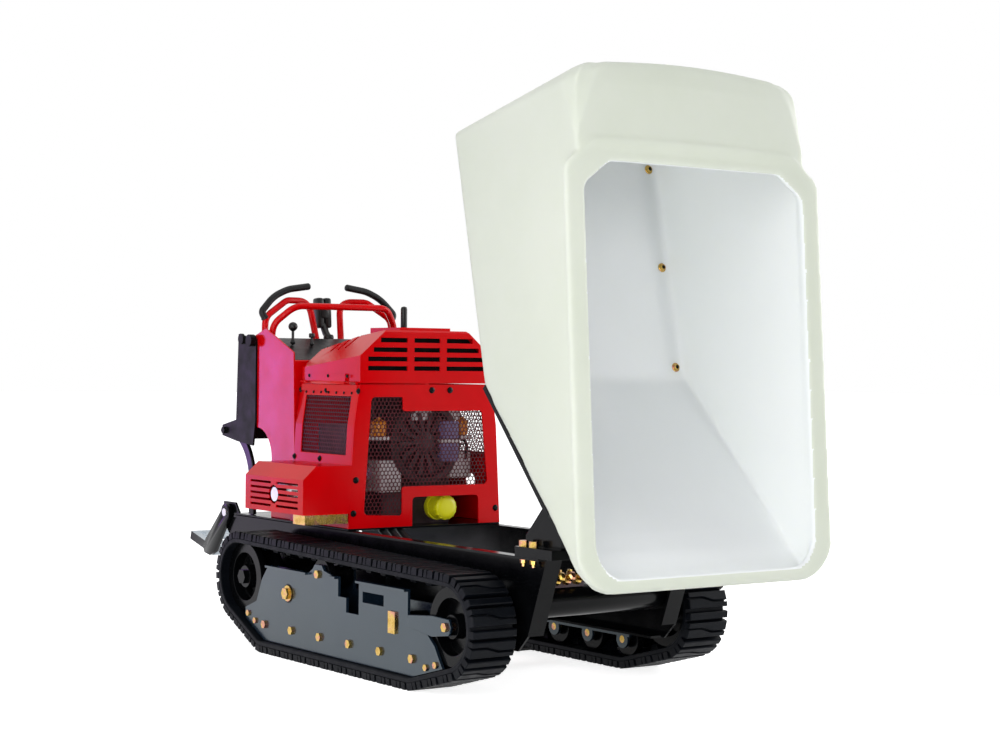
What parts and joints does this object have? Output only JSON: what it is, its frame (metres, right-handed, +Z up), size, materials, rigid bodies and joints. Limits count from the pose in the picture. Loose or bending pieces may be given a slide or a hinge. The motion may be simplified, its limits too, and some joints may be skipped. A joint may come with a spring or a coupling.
{
  "type": "tracked power carrier",
  "caption": "Stand-on tracked power carrier with a red engine body, rubber tracks, hand controls at the rear and a white poly tub tipped up to dump",
  "frame": {"origin": "middle of the overall box, on the ground", "axes": "+X forward towards the tub lip, +Y to the operator's left, +Z up"},
  "size_m": [2.212, 0.81, 1.5137],
  "materials": {
    "track_rubber": "matte",
    "frame_paint": "satin",
    "zinc": "satin",
    "black_paint": "gloss",
    "bright_steel": "polished",
    "white_poly": "satin",
    "red_paint": "gloss",
    "mesh_steel": "satin",
    "cast_grey": "matte",
    "filter_yellow": "gloss",
    "black_plastic": "satin",
    "grip_rubber": "matte",
    "pad_vinyl": "matte",
    "galvanised": "satin"
  },
  "bodies": {
    "chassis": {"track_right": "track_rubber", "track_left": "track_rubber", "track_frame_right": "frame_paint", "track_frame_left": "frame_paint", "idler_arms": "frame_paint", "wheel_axles": "zinc", "drive_motors": "black_paint", "cross_tubes": "black_paint", "chassis_rail_right": "black_paint", "chassis_rail_left": "black_paint", "cross_beams": "black_paint", "engine_deck": "black_paint", "pivot_ears": "black_paint", "pivot_pins": "bright_steel", "zinc_hardware": "zinc", "cylinder_bracket": "black_paint", "front_panel": "red_paint", "side_panels": "red_paint", "mesh_screens": "mesh_steel", "hood_hinge": "zinc", "muffler_guard": "red_paint", "muffler": "bright_steel", "engine": "cast_grey", "oil_filter": "filter_yellow", "console": "red_paint", "control_panel": "black_plastic", "handle_cage": "red_paint", "hand_grips": "grip_rubber", "thigh_pad": "pad_vinyl", "pad_brackets": "black_paint"},
    "bucket": {"tub": "white_poly", "tub_bolts": "zinc", "bucket_rails": "black_paint", "bucket_plate": "black_paint"},
    "barrel": {"cylinder_barrel": "black_paint"},
    "rod": {"cylinder_rod": "bright_steel"},
    "hood_body": {"hood": "red_paint"},
    "step": {"platform": "galvanised"},
    "traction_lever_body": {"traction_lever": "black_plastic"},
    "throttle_lever_body": {"throttle_lever": "black_plastic"},
    "choke_lever_body": {"choke_lever": "black_plastic"},
    "brake_lever_body": {"brake_lever": "black_plastic"},
    "sprocket_right_body": {"sprocket_right": "frame_paint"},
    "idler_right_body": {"idler_right": "frame_paint"},
    "roller_right_body": {"top_roller_right": "frame_paint"},
    "wheel_right_1_body": {"road_wheel_right_1": "frame_paint"},
    "wheel_right_2_body": {"road_wheel_right_2": "frame_paint"},
    "wheel_right_3_body": {"road_wheel_right_3": "frame_paint"},
    "wheel_right_4_body": {"road_wheel_right_4": "frame_paint"},
    "wheel_right_5_body": {"road_wheel_right_5": "frame_paint"},
    "wheel_right_6_body": {"road_wheel_right_6": "frame_paint"},
    "sprocket_left_body": {"sprocket_left": "frame_paint"},
    "idler_left_body": {"idler_left": "frame_paint"},
    "roller_left_body": {"top_roller_left": "frame_paint"},
    "wheel_left_1_body": {"road_wheel_left_1": "frame_paint"},
    "wheel_left_2_body": {"road_wheel_left_2": "frame_paint"},
    "wheel_left_3_body": {"road_wheel_left_3": "frame_paint"},
    "wheel_left_4_body": {"road_wheel_left_4": "frame_paint"},
    "wheel_left_5_body": {"road_wheel_left_5": "frame_paint"},
    "wheel_left_6_body": {"road_wheel_left_6": "frame_paint"}
  },
  "joints": [
    {"name": "bucket_tilt", "type": "hinge", "parent": "chassis", "child": "bucket", "pos_m": [0.82673, 0, 0.528], "axis": [0, 1, 0], "range_deg": [-77.2, 0]},
    {"name": "cylinder_swing", "type": "hinge", "parent": "chassis", "child": "barrel", "pos_m": [0.22073, 0, 0.2], "axis": [0, 1, 0], "range_deg": [0, 10.59]},
    {"name": "rod_slide", "type": "slide", "parent": "barrel", "child": "rod", "axis": [0.8038, 0, 0.5948], "range_m": [-0.05793, 0]},
    {"name": "sprocket_right_spin", "type": "hinge", "parent": "chassis", "child": "sprocket_right_body", "pos_m": [-0.47927, -0.34, 0.2], "axis": [0, 1, 0], "continuous": true},
    {"name": "idler_right_spin", "type": "hinge", "parent": "chassis", "child": "idler_right_body", "pos_m": [0.58173, -0.34, 0.176], "axis": [0, 1, 0], "continuous": true},
    {"name": "roller_right_spin", "type": "hinge", "parent": "chassis", "child": "roller_right_body", "pos_m": [-0.04627, -0.34, 0.24664], "axis": [0, 1, 0], "continuous": true},
    {"name": "wheel_right_1_spin", "type": "hinge", "parent": "chassis", "child": "wheel_right_1_body", "pos_m": [-0.33927, -0.34, 0.079], "axis": [0, 1, 0], "continuous": true},
    {"name": "wheel_right_2_spin", "type": "hinge", "parent": "chassis", "child": "wheel_right_2_body", "pos_m": [-0.18677, -0.34, 0.079], "axis": [0, 1, 0], "continuous": true},
    {"name": "wheel_right_3_spin", "type": "hinge", "parent": "chassis", "child": "wheel_right_3_body", "pos_m": [-0.03427, -0.34, 0.079], "axis": [0, 1, 0], "continuous": true},
    {"name": "wheel_right_4_spin", "type": "hinge", "parent": "chassis", "child": "wheel_right_4_body", "pos_m": [0.11823, -0.34, 0.079], "axis": [0, 1, 0], "continuous": true},
    {"name": "wheel_right_5_spin", "type": "hinge", "parent": "chassis", "child": "wheel_right_5_body", "pos_m": [0.27073, -0.34, 0.079], "axis": [0, 1, 0], "continuous": true},
    {"name": "wheel_right_6_spin", "type": "hinge", "parent": "chassis", "child": "wheel_right_6_body", "pos_m": [0.42323, -0.34, 0.079], "axis": [0, 1, 0], "continuous": true},
    {"name": "sprocket_left_spin", "type": "hinge", "parent": "chassis", "child": "sprocket_left_body", "pos_m": [-0.47927, 0.34, 0.2], "axis": [0, 1, 0], "continuous": true},
    {"name": "idler_left_spin", "type": "hinge", "parent": "chassis", "child": "idler_left_body", "pos_m": [0.58173, 0.34, 0.176], "axis": [0, 1, 0], "continuous": true},
    {"name": "roller_left_spin", "type": "hinge", "parent": "chassis", "child": "roller_left_body", "pos_m": [-0.04627, 0.34, 0.24664], "axis": [0, 1, 0], "continuous": true},
    {"name": "wheel_left_1_spin", "type": "hinge", "parent": "chassis", "child": "wheel_left_1_body", "pos_m": [-0.33927, 0.34, 0.079], "axis": [0, 1, 0], "continuous": true},
    {"name": "wheel_left_2_spin", "type": "hinge", "parent": "chassis", "child": "wheel_left_2_body", "pos_m": [-0.18677, 0.34, 0.079], "axis": [0, 1, 0], "continuous": true},
    {"name": "wheel_left_3_spin", "type": "hinge", "parent": "chassis", "child": "wheel_left_3_body", "pos_m": [-0.03427, 0.34, 0.079], "axis": [0, 1, 0], "continuous": true},
    {"name": "wheel_left_4_spin", "type": "hinge", "parent": "chassis", "child": "wheel_left_4_body", "pos_m": [0.11823, 0.34, 0.079], "axis": [0, 1, 0], "continuous": true},
    {"name": "wheel_left_5_spin", "type": "hinge", "parent": "chassis", "child": "wheel_left_5_body", "pos_m": [0.27073, 0.34, 0.079], "axis": [0, 1, 0], "continuous": true},
    {"name": "wheel_left_6_spin", "type": "hinge", "parent": "chassis", "child": "wheel_left_6_body", "pos_m": [0.42323, 0.34, 0.079], "axis": [0, 1, 0], "continuous": true},
    {"name": "hood_hinge_turn", "type": "hinge", "parent": "chassis", "child": "hood_body", "pos_m": [-0.27427, -0.2275, 0.76], "axis": [1, 0, 0], "range_deg": [0, 85]},
    {"name": "platform_fold", "type": "hinge", "parent": "chassis", "child": "step", "pos_m": [-0.84927, 0, 0.355], "axis": [0, 1, 0], "range_deg": [-13, 50]},
    {"name": "traction_tilt", "type": "hinge", "parent": "chassis", "child": "traction_lever_body", "pos_m": [-0.66127, 0, 0.89153], "axis": [0, 1, 0], "range_deg": [-8, 8], "stiffness_Nm_per_rad": 6},
    {"name": "throttle_tilt", "type": "hinge", "parent": "chassis", "child": "throttle_lever_body", "pos_m": [-0.56327, -0.18, 0.87496], "axis": [0, 1, 0], "range_deg": [-25, 25]},
    {"name": "choke_tilt", "type": "hinge", "parent": "chassis", "child": "choke_lever_body", "pos_m": [-0.55527, -0.12, 0.87075], "axis": [0, 1, 0], "range_deg": [-25, 25]},
    {"name": "brake_tilt", "type": "hinge", "parent": "chassis", "child": "brake_lever_body", "pos_m": [-0.54827, 0.2, 0.87016], "axis": [0, 1, 0], "range_deg": [-20, 30]}
  ],
  "couplings": [
    {"joint": "cylinder_swing", "follows": "bucket_tilt", "ratio": -0.13714},
    {"joint": "rod_slide", "follows": "bucket_tilt", "m_per_rad": 0.042993},
    {"joint": "idler_right_spin", "follows": "sprocket_right_spin", "ratio": 0.97992},
    {"joint": "roller_right_spin", "follows": "sprocket_right_spin", "ratio": 2.3238},
    {"joint": "wheel_right_1_spin", "follows": "sprocket_right_spin", "ratio": 2.0944},
    {"joint": "wheel_right_2_spin", "follows": "sprocket_right_spin", "ratio": 2.0944},
    {"joint": "wheel_right_3_spin", "follows": "sprocket_right_spin", "ratio": 2.0944},
    {"joint": "wheel_right_4_spin", "follows": "sprocket_right_spin", "ratio": 2.0944},
    {"joint": "wheel_right_5_spin", "follows": "sprocket_right_spin", "ratio": 2.0944},
    {"joint": "wheel_right_6_spin", "follows": "sprocket_right_spin", "ratio": 2.0944},
    {"joint": "idler_left_spin", "follows": "sprocket_left_spin", "ratio": 0.97992},
    {"joint": "roller_left_spin", "follows": "sprocket_left_spin", "ratio": 2.3238},
    {"joint": "wheel_left_1_spin", "follows": "sprocket_left_spin", "ratio": 2.0944},
    {"joint": "wheel_left_2_spin", "follows": "sprocket_left_spin", "ratio": 2.0944},
    {"joint": "wheel_left_3_spin", "follows": "sprocket_left_spin", "ratio": 2.0944},
    {"joint": "wheel_left_4_spin", "follows": "sprocket_left_spin", "ratio": 2.0944},
    {"joint": "wheel_left_5_spin", "follows": "sprocket_left_spin", "ratio": 2.0944},
    {"joint": "wheel_left_6_spin", "follows": "sprocket_left_spin", "ratio": 2.0944}
  ]
}
